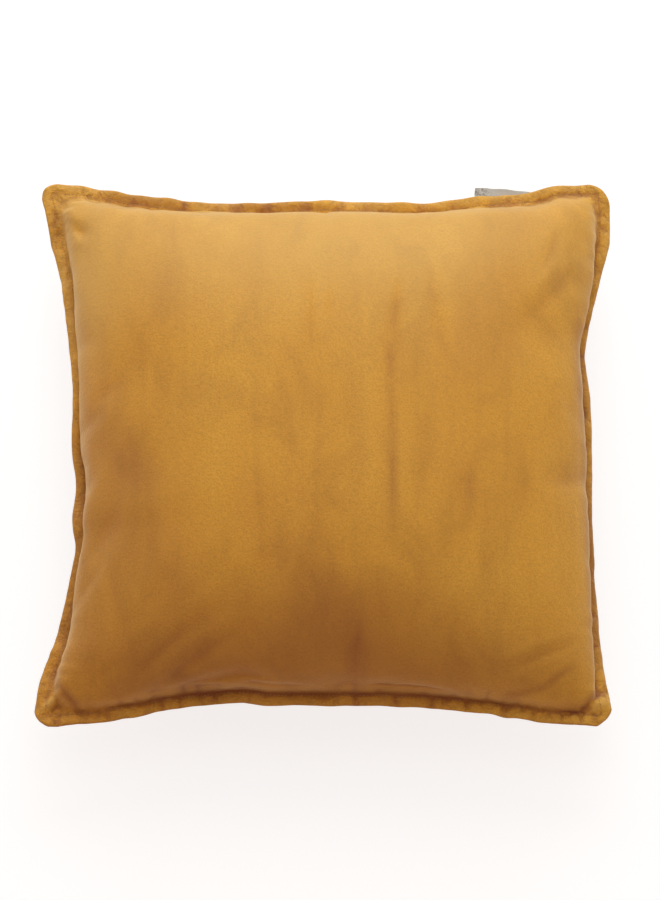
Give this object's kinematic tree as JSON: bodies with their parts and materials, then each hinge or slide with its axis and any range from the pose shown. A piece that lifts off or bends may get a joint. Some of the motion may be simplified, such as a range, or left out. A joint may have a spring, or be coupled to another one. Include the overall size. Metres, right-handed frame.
{
  "type": "throw pillow",
  "caption": "Square throw pillow: a velvet cover with a narrow stitched flange and a zip across its back, over a loose fibre-filled pad.",
  "frame": {"origin": "on the surface the pillow lies on, under the middle of its back", "axes": "+Z out of the front face, +Y towards the top edge with the label, +X towards the right edge seen from the front"},
  "size_m": [0.49, 0.49, 0.158],
  "materials": {
    "velvet": "matte",
    "thread": "satin",
    "label": "satin",
    "zip_tape": "matte",
    "zip_coil": "satin",
    "zip_metal": "satin",
    "pad_cotton": "matte",
    "pad_thread": "matte",
    "filling": "matte"
  },
  "bodies": {
    "cushion": {"front_panel": "velvet", "back_panel_upper": "velvet", "back_panel_lower": "velvet", "flange_stitching_front": "thread", "flange_stitching_back": "thread", "woven_label": "label", "zip_tape_upper": "zip_tape", "zip_tape_lower": "zip_tape", "zip_coil_upper": "zip_coil", "zip_coil_lower": "zip_coil", "zip_top_stops": "zip_metal", "zip_bottom_stop": "zip_metal", "zip_stitching_upper": "thread", "zip_stitching_lower": "thread", "zip_bar_tacks": "thread", "pad_casing_front": "pad_cotton", "pad_casing_back": "pad_cotton", "pad_edge_seam": "pad_thread", "pad_filling": "filling"},
    "zip_slider": {"zip_slider": "zip_metal"},
    "zip_pull": {"zip_pull": "zip_metal"}
  },
  "joints": [
    {"name": "zip_slide", "type": "slide", "parent": "cushion", "child": "zip_slider", "axis": [1, 0, 0], "range_m": [-0.288, 0]},
    {"name": "pull_swing", "type": "hinge", "parent": "zip_slider", "child": "zip_pull", "pos_m": [0.144, -0.18587, 0.03107], "axis": [0, 0.8181, -0.5751], "range_deg": [-85, 85]}
  ]
}
